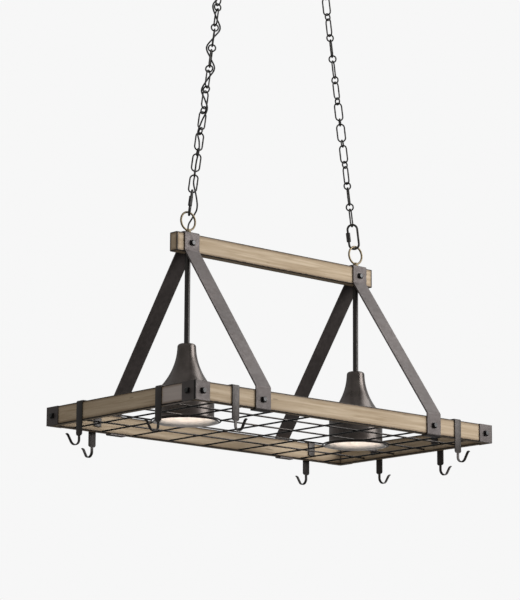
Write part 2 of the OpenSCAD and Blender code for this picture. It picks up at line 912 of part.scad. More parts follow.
// Two loops, each with the pipe that carries it from the mounting bar
module canopy_loops() {
  color(bronze)
    for (s = [-1, 1])
      translate([s * loop_x, 0, -canopy_h])
        difference() {
          union() {
            translate([0, 0, -neck_h - eye_r]) mirror([0, 0, 1]) eye_body();
            translate([0, 0, -1]) cylinder(d = pipe_d, h = canopy_h + 0.5);
          }
          translate([0, 0, -neck_h / 2]) cylinder(d = pipe_bore, h = canopy_h + neck_h);
          translate([0, 0, -neck_h - eye_wire]) cylinder(d = cord_hole_d, h = neck_h + eye_wire);
        }
}

module bar_nuts() {
  color(bronze)
    for (s = [-1, 1])
      translate([s * loop_x, 0, -bar_t - nut_h])
        hex_nut(nut_w, nut_h, pipe_d + 2 * hole_gap);
}

// ---------- pot hooks ----------

// Flat hook: X outwards from the rail, Y along it, Z up from its underside
module pot_hook() {
  span = rail_t + 2 * hook_gap + hook_t;
  saddle = rail_h + run_gap + hook_t / 2;
  bend = wood_ease + hook_t / 2;
  joint_z = rail_h - 12;
  low = hook_t / 2 - hook_depth;
  shoulder = (hook_w - hook_tail_w) / 4;
  rotate([90, 0, 0])
    linear_extrude(hook_w, center = true)
      strip([[-span, hook_lip], [-span, saddle], [0, saddle], [0, joint_z]], hook_t, bend);
  rotate([90, 0, 90])
    linear_extrude(hook_t, center = true)
      polygon([
        [-hook_w / 2, joint_z], [-hook_w / 2, shoulder - hook_drop],
        [shoulder - hook_w / 2, -hook_drop], [hook_w / 2 - shoulder, -hook_drop],
        [hook_w / 2, shoulder - hook_drop], [hook_w / 2, joint_z]
      ]);
  rotate([90, 0, 0])
    linear_extrude(hook_tail_w, center = true)
      strip(
        [
          [0, 1 - hook_drop], [0, low], [0.67 * hook_reach, low],
          [0.8 * hook_reach, low + 0.85 * hook_curl], [hook_reach, low + hook_curl]
        ],
        hook_t,
        hook_bend
      );
}

// A hook on a long rail; side is -1 for the front rail
module long_hook(side, x) {
  color(dark) at_rack()
    translate([x, side * (wood_w / 2 + hook_gap + hook_t / 2), 0])
      rotate([0, 0, side * 90]) pot_hook();
}

// A hook on a short rail; side is -1 for the left rail
module short_hook(side, y) {
  color(dark) at_rack()
    translate([side * (wood_l / 2 + hook_gap + hook_t / 2), y, 0])
      rotate([0, 0, 90 - side * 90]) pot_hook();
}

// ---------- the parts ----------

module rail_front() { long_rail(-1); }
module rail_back() { long_rail(1); }
module rail_left() { short_rail(-1); }
module rail_right() { short_rail(1); }
module bracket_front_left() { corner_bracket(-1, -1); }
module bracket_front_right() { corner_bracket(1, -1); }
module bracket_back_left() { corner_bracket(-1, 1); }
module bracket_back_right() { corner_bracket(1, 1); }
module left_yoke() { yoke(-1); }
module right_yoke() { yoke(1); }
module left_downrod() { downrod(-1); }
module right_downrod() { downrod(1); }
module left_shade() { shade(-1); }
module right_shade() { shade(1); }
module left_socket() { socket(-1); }
module right_socket() { socket(1); }
module left_bulb() { bulb(-1); }
module right_bulb() { bulb(1); }
module left_eye() { eye(-1); }
module right_eye() { eye(1); }
module left_quick_link() { quick_link(-1, left_face); }
module right_quick_link() { quick_link(1, right_face); }
module left_sleeve_nut() { sleeve_nut(-1, left_face); }
module right_sleeve_nut() { sleeve_nut(1, right_face); }
module left_chain_links() { chain_links_of(-1, left_face, left_twist); }
module left_chain_rings() { chain_rings_of(-1, left_face, left_twist); }
module right_chain_links() { chain_links_of(1, right_face, right_twist); }
module right_chain_rings() { chain_rings_of(1, right_face, right_twist); }
module hook_front_left() { long_hook(-1, -hook_x); }
module hook_front_right() { long_hook(-1, hook_x); }
module hook_back_left() { long_hook(1, -back_left_x); }
module hook_back_right() { long_hook(1, hook_x); }
module hook_left_front() { short_hook(-1, -hook_y); }
module hook_left_back() { short_hook(-1, hook_y); }
module hook_right_front() { short_hook(1, -right_front_y); }
module hook_right_back() { short_hook(1, right_back_y); }

rail_front();
rail_back();
rail_left();
rail_right();
bracket_front_left();
bracket_front_right();
bracket_back_left();
bracket_back_right();
corner_bolts();
long_wires();
cross_wires();
shade_rings();
top_beam();
left_yoke();
right_yoke();
rail_bolts();
beam_bolts();
left_downrod();
right_downrod();
left_shade();
right_shade();
threaded_pipes();
cap_nuts();
left_socket();
right_socket();
left_bulb();
right_bulb();
left_eye();
right_eye();
left_quick_link();
right_quick_link();
left_sleeve_nut();
right_sleeve_nut();
left_chain_links();
left_chain_rings();
right_chain_links();
right_chain_rings();
ceiling_canopy();
canopy_loops();
mounting_bar();
bar_nuts();
cord_top();
cord_woven();
cord_tail();
hook_front_left();
hook_front_right();
hook_back_left();
hook_back_right();
hook_left_front();
hook_left_back();
hook_right_front();
hook_right_back();
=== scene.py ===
"""Looks of a hanging pot rack with two bell lamps: materials, cord, chains, pot hooks, light and camera."""

import math

import bmesh
import bpy
from mathutils import Matrix, Vector


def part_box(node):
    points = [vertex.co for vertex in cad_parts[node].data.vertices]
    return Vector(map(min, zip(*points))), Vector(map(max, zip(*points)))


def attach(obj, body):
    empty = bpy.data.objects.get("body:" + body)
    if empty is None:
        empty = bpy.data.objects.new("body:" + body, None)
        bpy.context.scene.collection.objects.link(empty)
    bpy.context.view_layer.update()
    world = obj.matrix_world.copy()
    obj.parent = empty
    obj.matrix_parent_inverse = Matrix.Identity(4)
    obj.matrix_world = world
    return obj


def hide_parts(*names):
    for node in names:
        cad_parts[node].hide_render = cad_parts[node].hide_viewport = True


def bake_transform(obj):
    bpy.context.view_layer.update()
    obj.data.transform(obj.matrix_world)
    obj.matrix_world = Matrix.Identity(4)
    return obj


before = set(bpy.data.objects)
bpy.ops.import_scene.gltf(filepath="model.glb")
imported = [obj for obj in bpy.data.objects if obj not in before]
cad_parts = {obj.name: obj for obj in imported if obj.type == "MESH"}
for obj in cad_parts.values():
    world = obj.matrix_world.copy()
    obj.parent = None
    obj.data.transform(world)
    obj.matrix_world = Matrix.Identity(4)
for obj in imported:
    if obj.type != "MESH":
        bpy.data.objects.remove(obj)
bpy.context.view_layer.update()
MM = 0.001

# ---------- places and sizes, from the part's own named values ----------

LAMP_X = 306 * MM
CORD_D = 4.5 * MM
CHAIN_LEAN = math.radians(9)
CHAIN_FACES = {-1: (48, 15), 1: (-47, 25.7)}  # each chain's first turn and its twist per link, in degrees
RING_OUT = (24.3 + 2.75) * MM  # from an eye's or a loop's centre to the outside of its wire
RAIL_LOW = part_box("rail_front")[0].z
EYE = Vector((-LAMP_X, 0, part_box("left_eye")[1].z - RING_OUT))
LOOP = Vector((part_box("canopy_loops")[0].x + RING_OUT, 0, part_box("canopy_loops")[0].z + RING_OUT))

# The cord's points in mm: the woven stretch in the left chain's frame, and its ends from the eye's centre
# and the loop's
WOVEN_ROUTE = [
    (19, 0, 27.3), (19, -5.5, 37), (15.5, -9.5, 49), (10, -11.5, 61.5),
    (5, -11.5, 74), (1, -9.5, 86.5), (-0.5, -4.5, 99), (2.5, 3, 114),
    (10, 11.3, 137), (0, 0, 166.5), (-6.7, -13.2, 196.5), (0, 0, 227),
    (3, 14.6, 257), (0, 0, 287), (0.8, -14.8, 317), (0, 0, 347.5),
    (-4.6, 14.2, 377.5), (0, 0, 407.5), (8.1, -12.5, 437.5), (0, 0, 468),
    (-11, 10, 498), (0, 0, 528), (13.2, -6.8, 558.5), (0, 0, 588.5),
    (-14.6, 3.1, 618.5), (0, 0, 648.5), (14.8, 0.8, 679), (0, 0, 709),
    (-14.9, -5, 739), (-19, -6.5, 757), (-20, -5, 773), (-19, 0, 786),
]
TAIL_ROUTE = [
    (23, 0, 24), (21.5, 5.5, 16), (17, 8.5, 6.5), (10, 7.5, -3),
    (3.5, 3, -11.5), (0, 0, -20), (0, 0, -27),
]
TOP_ROUTE = [
    (-23, 0, -24), (-21.5, 5.5, -16), (-17, 8.5, -6.5), (-10, 7.5, 3),
    (-3.5, 3, 11.5), (0, 0, 20), (0, 0, 27),
]
CORD_STEPS = 8
CORD_SIDES = 16

# The chains in mm: places and pitch are the part's, and the welded wire is as stout as the photograph's
CHAIN_LINKS = 12
CHAIN_PITCH = 60.3
FIRST_LINK = 105.85
FIRST_RING = 136.0
LINK_SPAN = 49.7
LINK_BOW = 10.7
RING_BOW = 9.65
CHAIN_WIRE = 4.2
TOP_WIRE = 3.6  # the top link's wire, for room in the canopy's loop as it swings
TOP_FROM = 750
WELD_L = 3.2
WELD_SWELL = 0.16
WIRE_SIDES = 14

# A pot hook's strip in mm: its middle line lies HOOK_PLANE outside the rail, and bends over it
HOOK_T = 3
HOOK_W = 23.5
HOOK_TAIL_W = 8
HOOK_PLANE = 1.9
HOOK_SPAN = 22.8
HOOK_LIP = 13
HOOK_SADDLE = 50.8
HOOK_FOLD = 3
HOOK_NECK = ((-36.1, HOOK_W), (-39.9, 15.9), (-40.1, HOOK_TAIL_W))  # heights and widths
HOOK_LOW = -65.5
HOOK_BELLY = 14
HOOK_RISE = 18
HOOK_FLARE = 9
HOOK_SLOPE = 58
HOOK_TIP = 25
HOOK_TIP_L = 2.2
HOOK_EASE = 0.7

# The camera, fitted to the frame's edges in the photograph: angles in radians, and its place in mm
YAW = 0.729166
PITCH = 0.201430
ROLL = 0.005203
LENS = 36 * 2719.49 / 600
CAMERA_X = -4826.82
CAMERA_Y = -5346.94
CAMERA_ABOVE_RAIL = -1102.55

# Light
BACKDROP = (0.93, 0.93, 0.93, 1)
SKY_LOW = 0.16
SKY_HIGH = 0.62
FLOOR_SIZE = 30
FLOOR_BELOW_RAIL = 1.4
FLOOR_GLOW = 0.55
BULB_GLOW = 3.7
KEY_POWER = 138
TOP_POWER = 40


# ---------- colours ----------

def srgb(red, green, blue):
    """A colour given in the 0 to 255 numbers of a picture, as linear light."""
    def linear(c):
        c = c / 255
        return c / 12.92 if c <= 0.04045 else ((c + 0.055) / 1.055) ** 2.4
    return (linear(red), linear(green), linear(blue), 1.0)


WOOD_PALE = srgb(200, 180, 152)
WOOD_DEEP = srgb(167, 145, 116)
WOOD_WARM = srgb(186, 165, 138)
WOOD_PORE = srgb(112, 90, 66)
WOOD_MARK = srgb(88, 68, 50)
# dark band along the boards' edges: part glaze, part painted shade
WOOD_GLAZE_AND_SHADE = srgb(112, 90, 64)
WOOD_EDGE = srgb(34, 26, 20)
WOOD_GREY = srgb(186, 176, 173)
GREY_PATCH_Y = -0.172  # the left rail is greyer from here to its front end
BELL_DARK = srgb(71, 65, 61)
BELL_LIGHT = srgb(91, 84, 80)
ENAMEL_DEEP = (0.8, 0.755, 0.71, 1)
ENAMEL_PALE = (0.86, 0.83, 0.8, 1)
ENAMEL_R = 84.5 * MM  # the enamel ends where the brim's edge is rolled
ENAMEL_FADE = 0.6 * MM
BULB_WARM = (1.0, 0.91, 0.84, 1)
BULB_PALE = (1.0, 0.95, 0.89, 1)
CORD_BLACK = (srgb(17, 16, 16), srgb(34, 33, 32))
PORCELAIN = (srgb(205, 200, 188), srgb(222, 218, 208))
ZINC = srgb(176, 174, 168)
FLOOR_TONES = ((0.78, 0.78, 0.78, 1), (0.8, 0.8, 0.8, 1))

METAL_GRAIN = 90.0
EDGE_ROUND = 0.8 * MM
# Width, fade and colour of the painted shade along a bracket's outer bend
BEND_W = 3.4 * MM
BEND_FADE = 1 * MM
PAINTED_BEND_SHADE = srgb(22, 20, 19)

# Each metal's dark and light tones, with its roughness, wear and rubbed edges where it has them
METALS = {
    "pewter": dict(
        tones=(srgb(72, 66, 64), srgb(86, 79, 77)), roughness=0.5,
        wear=srgb(100, 84, 74), edge=srgb(118, 109, 104),
    ),
    "hook_pewter": dict(
        tones=(srgb(48, 44, 42), srgb(59, 54, 51)), roughness=0.42,
        wear=srgb(72, 61, 53), edge=srgb(88, 80, 75),
    ),
    "dark_bronze": dict(
        tones=(srgb(48, 45, 43), srgb(64, 60, 57)), roughness=0.38,
        wear=srgb(96, 84, 72), edge=srgb(104, 97, 92),
    ),
    "black_bolt": dict(
        tones=(srgb(8, 7, 7), srgb(16, 15, 14)), roughness=0.3, metallic=0.2, edge=srgb(34, 32, 31),
    ),
    "black_wire": dict(
        tones=(srgb(16, 15, 14), srgb(28, 26, 24)), roughness=0.26, metallic=0.6, wear=srgb(70, 64, 58),
    ),
    # long wires and shade rings: the cross wires' black wire painted lighter as a painted sheen where they
    # catch the key light, with worn spots
    "sheen_painted_wire": dict(
        tones=(srgb(40, 37, 35), srgb(66, 60, 56)), roughness=0.24, metallic=0.75, wear=srgb(120, 112, 104),
    ),
    "aged_chain": dict(
        tones=(srgb(38, 36, 34), srgb(52, 49, 46)), roughness=0.46, metallic=0.3, wear=srgb(78, 70, 62),
    ),
    "antique_brass": dict(
        tones=(srgb(108, 96, 74), srgb(138, 123, 97)), roughness=0.42, metallic=0.6, wear=srgb(62, 50, 38),
    ),
}


# ---------- camera ----------

def make_camera():
    ahead = Vector((math.sin(YAW) * math.cos(PITCH), math.cos(YAW) * math.cos(PITCH), math.sin(PITCH)))
    right = Vector((math.cos(YAW), -math.sin(YAW), 0))
    up = right.cross(ahead)
    side = math.cos(ROLL) * right + math.sin(ROLL) * up
    top = math.cos(ROLL) * up - math.sin(ROLL) * right
    data = bpy.data.cameras.new("camera")
    data.lens = LENS
    data.sensor_width = 36
    data.clip_start = 0.05
    data.clip_end = 100
    camera = bpy.data.objects.new("camera", data)
    bpy.context.scene.collection.objects.link(camera)
    camera.matrix_world = Matrix((
        (side.x, top.x, -ahead.x, CAMERA_X * MM),
        (side.y, top.y, -ahead.y, CAMERA_Y * MM),
        (side.z, top.z, -ahead.z, CAMERA_ABOVE_RAIL * MM + RAIL_LOW),
        (0, 0, 0, 1),
    ))
    bpy.context.scene.camera = camera


# ---------- node helpers ----------

class Nodes:
    """Short names for building one material's node tree."""

    def __init__(self, name):
        self.material = bpy.data.materials.new(name)
        self.material.use_nodes = True
        self.tree = self.material.node_tree
        self.shader = self.tree.nodes["Principled BSDF"]
        self.place = self.add("ShaderNodeTexCoord").outputs["Object"]

    def add(self, kind, **inputs):
        node = self.tree.nodes.new(kind)
        for key, value in inputs.items():
            self.feed(node.inputs[key.replace("_", " ")], value)
        return node

    def feed(self, socket, value):
        if isinstance(value, bpy.types.NodeSocket):
            self.tree.links.new(value, socket)
        else:
            socket.default_value = value

    def math(self, operation, *values):
        node = self.tree.nodes.new("ShaderNodeMath")
        node.operation = operation
        for i, value in enumerate(values):
            self.feed(node.inputs[i], value)
        return node.outputs[0]

    def blend(self, first, first_share, second, second_share):
        """Two values added in the shares given."""
        first_part = self.math("MULTIPLY", first, first_share)
        second_part = self.math("MULTIPLY", second, second_share)
        return self.math("ADD", first_part, second_part)

    def split(self, vector):
        return self.add("ShaderNodeSeparateXYZ", Vector=vector).outputs

    def scaled(self, scale, vector=None, shift=(0, 0, 0)):
        node = self.add("ShaderNodeMapping", Vector=vector or self.place)
        node.inputs["Scale"].default_value = scale
        node.inputs["Location"].default_value = shift
        return node.outputs[0]

    def noise(self, vector, scale, detail, roughness=0.55, distortion=0.0):
        node = self.add("ShaderNodeTexNoise", Vector=vector, Scale=scale, Detail=detail)
        node.inputs["Roughness"].default_value = roughness
        node.inputs["Distortion"].default_value = distortion
        return node.outputs["Fac"]

    def step(self, value, low, high, out_low=0.0, out_high=1.0):
        node = self.tree.nodes.new("ShaderNodeMapRange")
        node.interpolation_type = "SMOOTHSTEP"
        for i, number in enumerate((value, low, high, out_low, out_high)):
            self.feed(node.inputs[i], number)
        return node.outputs[0]

    def mix(self, amount, first, second):
        node = self.tree.nodes.new("ShaderNodeMix")
        node.data_type = "RGBA"
        self.feed(node.inputs[0], amount)
        self.feed(node.inputs[6], first)
        self.feed(node.inputs[7], second)
        return node.outputs[2]

    def bump(self, height, strength, distance, rounded=None):
        node = self.add("ShaderNodeBump", Height=height, Strength=strength, Distance=distance)
        if rounded is not None:
            self.tree.links.new(rounded, node.inputs["Normal"])
        self.tree.links.new(node.outputs[0], self.shader.inputs["Normal"])

    def rounded_edges(self, radius):
        """Normals as if the edges were rounded to the radius, and how near a point is to an edge, 0 to 1."""
        bevel = self.tree.nodes.new("ShaderNodeBevel")
        bevel.samples = 6
        bevel.inputs["Radius"].default_value = radius
        flat = self.add("ShaderNodeNewGeometry").outputs["Normal"]
        dot = self.tree.nodes.new("ShaderNodeVectorMath")
        dot.operation = "DOT_PRODUCT"
        self.tree.links.new(bevel.outputs[0], dot.inputs[0])
        self.tree.links.new(flat, dot.inputs[1])
        return bevel.outputs[0], self.step(dot.outputs["Value"], 0.995, 0.9)

    def set(self, **inputs):
        for key, value in inputs.items():
            self.feed(self.shader.inputs[key.replace("_", " ")], value)
        return self.material


# ---------- wood ----------

def edge_distance(n, low, high):
    """How far a point on a board's surface is from the board's nearest edge."""
    middle, half = (low + high) / 2, (high - low) / 2
    parts = n.split(n.place)
    gaps = [
        n.math("SUBTRACT", half[i], n.math("ABSOLUTE", n.math("SUBTRACT", parts[i], middle[i])))
        for i in range(3)
    ]
    total = n.math("ADD", n.math("ADD", gaps[0], gaps[1]), gaps[2])
    return n.math("SUBTRACT", total, n.math("MAXIMUM", n.math("MAXIMUM", gaps[0], gaps[1]), gaps[2]))


def ragged(n, value, noise, amount):
    """A length made uneven by the noise."""
    return n.math("ADD", value, n.math("MULTIPLY", n.math("SUBTRACT", noise, 0.5), amount))


def wood(node, along):
    """Light stained board with its grain along X (0) or Y (1), rubbed nearly black along its edges, in a
    wider dark band that is part glaze and part painted shade.
    """
    n = Nodes("wood_" + node)
    low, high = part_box(node)
    seed = (low.x * 3.1 + 1, low.y * 2.3 + 4, 7 * along + 2)
    long_grain = [30, 30, 30]
    long_grain[along] = 1.2
    short_grain = [30, 30, 30]
    short_grain[along] = 3.5
    streaks = n.noise(n.scaled(long_grain, shift=seed), 5.0, 6.0, roughness=0.6, distortion=0.4)
    fine = n.noise(n.scaled(short_grain, shift=seed), 22.0, 5.0, roughness=0.7)
    broad = n.noise(n.scaled((3, 3, 3), shift=seed), 2.4, 3.0)
    marks = n.noise(n.scaled(short_grain, shift=(seed[2], seed[0], seed[1])), 4.0, 2.0)
    tan = n.mix(n.step(streaks, 0.3, 0.7), WOOD_DEEP, WOOD_PALE)
    tan = n.mix(n.step(broad, 0.35, 0.7, 0.0, 0.7), tan, WOOD_WARM)
    tan = n.mix(n.step(fine, 0.62, 0.8, 0.0, 0.4), tan, WOOD_PORE)
    tan = n.mix(n.step(marks, 0.68, 0.76, 0.0, 0.5), tan, WOOD_MARK)
    if node == "rail_left":
        y = ragged(n, n.split(n.place)[1], streaks, 0.02)
        tan = n.mix(n.step(y, GREY_PATCH_Y - 0.004, GREY_PATCH_Y, 0.75, 0.0), tan, WOOD_GREY)
    edge = ragged(n, edge_distance(n, low, high), fine, 0.005)
    # A dark band along every edge, part glaze and part painted shade, widened to copy the darker lower edges
    # of the rails
    colour = n.mix(n.step(edge, 0.002, 0.0105, 0.72, 0.0), tan, WOOD_GLAZE_AND_SHADE)
    colour = n.mix(n.step(edge, 0.0019, 0.0034, 0.97, 0.0), colour, WOOD_EDGE)
    n.bump(n.blend(streaks, 0.7, fine, 0.5), 0.45, 0.6 * MM)
    return n.set(Base_Color=colour, Roughness=n.step(streaks, 0.2, 0.8, 0.72, 0.55), Specular_IOR_Level=0.3)


# ---------- metal ----------

def metal(name, tones, roughness, metallic=0.55, wear=None, edge=None, shaded_bend=None):
    """Sprayed or aged metal: mottled, with fine orange peel, worn spots, rubbed edges and, where a bend is
    given, painted shade along it.
    """
    n = Nodes(name)
    broad = n.noise(n.place, 9.0, 4.0)
    fine = n.noise(n.place, METAL_GRAIN, 5.0, roughness=0.6)
    speck = n.noise(n.place, METAL_GRAIN * 9, 3.0, roughness=0.6)
    colour = n.mix(n.step(n.blend(broad, 0.6, fine, 0.4), 0.35, 0.65), *tones)
    if wear is not None:
        colour = n.mix(n.step(fine, 0.66, 0.78, 0.0, 0.5), colour, wear)
    rounded = None
    if edge is not None:
        rounded, near = n.rounded_edges(EDGE_ROUND)
        colour = n.mix(n.math("MULTIPLY", near, n.step(fine, 0.35, 0.6, 0.1, 0.55)), colour, edge)
    # Painted shade: a dark strip along the bracket's outer bend, where the rounded corner turns from the
    # light
    if shaded_bend is not None:
        parts = n.split(n.place)
        away = [n.math("ABSOLUTE", n.math("SUBTRACT", parts[i], shaded_bend[i])) for i in range(2)]
        from_shaded_bend = n.math("MAXIMUM", away[0], away[1])
        colour = n.mix(n.step(from_shaded_bend, BEND_W, BEND_W + BEND_FADE, 0.9, 0.0), colour, PAINTED_BEND_SHADE)
    n.bump(n.blend(fine, 0.5, speck, 0.5), 0.25, 0.3 * MM, rounded)
    gloss = n.step(fine, 0.3, 0.7, roughness - 0.06, roughness + 0.08)
    return n.set(Base_Color=colour, Metallic=metallic, Roughness=gloss)


def brushed(name, colour, roughness):
    """Plated steel with fine lines along X."""
    n = Nodes(name)
    lines = n.noise(n.scaled((3, 400, 400)), 4.0, 3.0)
    n.bump(lines, 0.2, 0.2 * MM)
    tone = n.mix(n.step(lines, 0.3, 0.7), colour, tuple(0.75 * c for c in colour[:3]) + (1.0,))
    gloss = n.step(lines, 0.3, 0.7, roughness, roughness + 0.12)
    return n.set(Base_Color=tone, Metallic=0.9, Roughness=gloss)


def shade_material(side):
    """Dark bronze outside, white enamel inside and under the brim up to its rolled edge."""
    n = Nodes("bell_left" if side < 0 else "bell_right")
    offset = n.add("ShaderNodeVectorMath", Vector=n.place)
    offset.operation = "SUBTRACT"
    offset.inputs[1].default_value = (side * LAMP_X, 0, 0)
    parts = n.split(offset.outputs[0])
    normal = n.split(n.add("ShaderNodeNewGeometry").outputs["True Normal"])
    radius = n.math("SQRT", n.blend(parts[0], parts[0], parts[1], parts[1]))
    across = n.blend(parts[0], normal[0], parts[1], normal[1])
    outward = n.math("ADD", n.math("DIVIDE", across, radius), normal[2])
    facing_in = n.step(outward, -0.05, 0.0, 1.0, 0.0)
    inside = n.math("MULTIPLY", facing_in, n.step(radius, ENAMEL_R, ENAMEL_R + ENAMEL_FADE, 1.0, 0.0))
    angle = n.math("ARCTAN2", parts[1], parts[0])
    spun = n.add("ShaderNodeCombineXYZ", X=n.math("MULTIPLY", angle, 0.06), Y=radius, Z=parts[2]).outputs[0]
    rings = n.noise(n.scaled((0.4, 5, 5), vector=spun), 60.0, 4.0)
    mottle = n.noise(n.place, 26.0, 4.0)
    cloud = n.step(mottle, 0.3, 0.7)
    colour = n.mix(inside, n.mix(cloud, BELL_DARK, BELL_LIGHT), n.mix(cloud, ENAMEL_DEEP, ENAMEL_PALE))
    n.bump(n.blend(rings, 0.4, mottle, 0.6), 0.08, 0.4 * MM)
    return n.set(
        Base_Color=colour,
        Metallic=n.math("MULTIPLY", n.math("SUBTRACT", 1.0, inside), 0.7),
        Roughness=n.step(mottle, 0.3, 0.7, 0.25, 0.35),
    )


# ---------- glass, cord and porcelain ----------

def bulb_material():
    """Frosted glass, lit from within."""
    n = Nodes("frosted_bulb")
    colour = n.mix(n.step(n.noise(n.place, 60.0, 3.0), 0.3, 0.7), BULB_WARM, BULB_PALE)
    return n.set(Base_Color=colour, Roughness=0.35, Emission_Color=colour, Emission_Strength=BULB_GLOW)


def clouded(name, tones, scale, bump, gloss):
    """Two near tones in soft clouds of the noise's scale, with a shallow bump and uneven gloss."""
    n = Nodes(name)
    cloud = n.noise(n.place, scale, 3.0)
    n.bump(cloud, *bump)
    colour = n.mix(n.step(cloud, 0.3, 0.7), *tones)
    return n.set(Base_Color=colour, Roughness=n.step(cloud, 0.3, 0.7, *gloss))


# ---------- mesh helpers ----------

def make_object(name, mesh, material):
    data = bpy.data.meshes.new(name)
    mesh.to_mesh(data)
    mesh.free()
    data.materials.append(material)
    piece = bpy.data.objects.new(name, data)
    bpy.context.scene.collection.objects.link(piece)
    return piece


def turns(first, last, steps):
    """Angles in radians from the first to the last, which are in degrees."""
    return [math.radians(first + (last - first) * i / steps) for i in range(steps + 1)]


def arc(centre, radius, first, last, steps=6):
    """Points of an arc from the first to the last angle, in degrees."""
    return [
        Vector((centre[0] + radius * math.cos(a), centre[1] + radius * math.sin(a)))
        for a in turns(first, last, steps)
    ]


def skin(mesh, near, far, smooth):
    """Faces between two cross-sections of a bar or wire."""
    for k in range(len(near)):
        mesh.faces.new((near[k], near[k - 1], far[k - 1], far[k])).smooth = smooth


def skin_open(mesh, rings, smooth):
    """Faces along a row of cross-sections, and over its two ends."""
    for near, far in zip(rings, rings[1:]):
        skin(mesh, near, far, smooth)
    mesh.faces.new(rings[0])
    mesh.faces.new(rings[-1][::-1])
    bmesh.ops.recalc_face_normals(mesh, faces=mesh.faces)


def way_at(line, i):
    """Direction of an open line at one of its points."""
    return (line[min(i + 1, len(line) - 1)] - line[max(i - 1, 0)]).normalized()


# ---------- cord ----------

def between(a, b, c, d, t):
    """Point between b and c on the smooth curve through a, b, c and d."""
    return b + (c - a) * t / 2 + (2 * a - 5 * b + 4 * c - d) * t**2 / 2 + (3 * b - a - 3 * c + d) * t**3 / 2


def smooth_line(points):
    ends = [2 * points[0] - points[1], *points, 2 * points[-1] - points[-2]]
    line = [
        between(*ends[i:i + 4], j / CORD_STEPS)
        for i in range(len(points) - 1)
        for j in range(CORD_STEPS)
    ]
    return line + [points[-1]]


def from_chain(point):
    """A point of the left chain's frame, in the part's frame."""
    x, y, s = (c * MM for c in point)
    lean = CHAIN_LEAN
    return EYE + Vector((x * math.cos(lean) + s * math.sin(lean), y, s * math.cos(lean) - x * math.sin(lean)))


def cord_lines():
    """The cord's centreline as two stretches that meet halfway up the chain."""
    tail = [EYE + Vector(p) * MM for p in TAIL_ROUTE]
    woven = [from_chain(p) for p in WOVEN_ROUTE]
    top = [LOOP + Vector(p) * MM for p in TOP_ROUTE]
    line = smooth_line(tail[:0:-1] + woven[:-1] + top)
    middle = min(range(len(line)), key=lambda i: abs(line[i].z - (EYE.z + LOOP.z) / 2))
    return line[middle:][::-1], line[:middle + 1][::-1]


def tube(name, line, radius, material):
    """Closed tube along a line of points, with its cross-sections square to the line."""
    mesh = bmesh.new()
    rings = []
    for i, point in enumerate(line):
        way = way_at(line, i)
        first = way.cross(Vector((1, 0, 0))).normalized()
        second = way.cross(first)
        rings.append([
            mesh.verts.new(point + radius * (math.cos(a) * first + math.sin(a) * second))
            for a in turns(0, 360, CORD_SIDES)[:-1]
        ])
    skin_open(mesh, rings, True)
    return make_object(name, mesh, material)


def make_cord():
    upper, lower = cord_lines()
    material = clouded("black_cord", CORD_BLACK, 700.0, (0.15, 0.2 * MM), (0.42, 0.6))
    plans = [
        ("cord_upper", upper, "ceiling", "chains", "chains_swing", ["cord_top"]),
        ("cord_lower", lower, "chains", "rack", "rack_swing", ["cord_woven", "cord_tail"]),
    ]
    for name, line, above, below, joint, nodes in plans:
        piece = tube(name, line, CORD_D / 2, material)
        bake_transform(piece)
        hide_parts(*nodes)


# ---------- chains ----------

def loop_line(half_leg, bow):
    """Middle line of a link or ring in the XZ plane: two half circles, and two legs where it has them."""
    heights = [half_leg * (1 - i / 6) for i in range(1, 12)] if half_leg > 0 else []
    upper = [Vector((p.x, 0, p.y)) for p in arc((0, half_leg), bow, 0, 180, WIRE_SIDES)]
    lower = [Vector((p.x, 0, p.y)) for p in arc((0, -half_leg), bow, 180, 360, WIRE_SIDES)]
    left = [Vector((-bow, 0, z)) for z in heights]
    right = [Vector((bow, 0, -z)) for z in heights]
    return upper + left + lower + right


def add_loop(mesh, place, half_leg, bow, wire):
    """Closed wire loop, swollen at the welded joint on its right leg."""
    line = loop_line(half_leg, bow)
    normal = Vector((0, 1, 0))
    rings = []
    for i, point in enumerate(line):
        side = (line[(i + 1) % len(line)] - line[i - 1]).normalized().cross(normal)
        radius = wire / 2
        if point.x > 0 and abs(point.z) < WELD_L < half_leg:
            radius *= 1 + WELD_SWELL * math.cos(point.z / WELD_L * math.pi / 2) ** 2
        rings.append([
            mesh.verts.new(place @ ((point + radius * (math.cos(a) * side + math.sin(a) * normal)) * MM))
            for a in turns(0, 360, WIRE_SIDES)[:-1]
        ])
    for i, near in enumerate(rings):
        skin(mesh, near, rings[(i + 1) % len(rings)], True)


def make_chain(side, material):
    """Long links and round rings of one chain, each turned against the one below."""
    name = "left" if side < 0 else "right"
    face, twist = CHAIN_FACES[side]
    lean = Matrix.Translation((-side * EYE.x, 0, EYE.z)) @ Matrix.Rotation(-side * CHAIN_LEAN, 4, "Y")
    for kind, count, first, offset, half_leg, bow in (
        ("links", CHAIN_LINKS, FIRST_LINK, -1, LINK_SPAN / 2 - LINK_BOW, LINK_BOW),
        ("rings", CHAIN_LINKS - 1, FIRST_RING, 0, 0, RING_BOW),
    ):
        mesh = bmesh.new()
        for k in range(count):
            height = first + k * CHAIN_PITCH
            turn = math.radians(face + (2 * k + offset) * (90 + twist / 2))
            place = lean @ Matrix.Translation((0, 0, height * MM)) @ Matrix.Rotation(turn, 4, "Z")
            add_loop(mesh, place, half_leg, bow, TOP_WIRE if height > TOP_FROM else CHAIN_WIRE)
        bmesh.ops.remove_doubles(mesh, verts=mesh.verts, dist=1e-6)
        bmesh.ops.recalc_face_normals(mesh, faces=mesh.faces)
        piece = make_object(f"welded_{name}_{kind}", mesh, material)
        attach(piece, "chains")
        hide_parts(f"{name}_chain_{kind}")


# ---------- pot hooks ----------

def heading(degrees):
    return Vector((math.cos(math.radians(degrees)), math.sin(math.radians(degrees))))


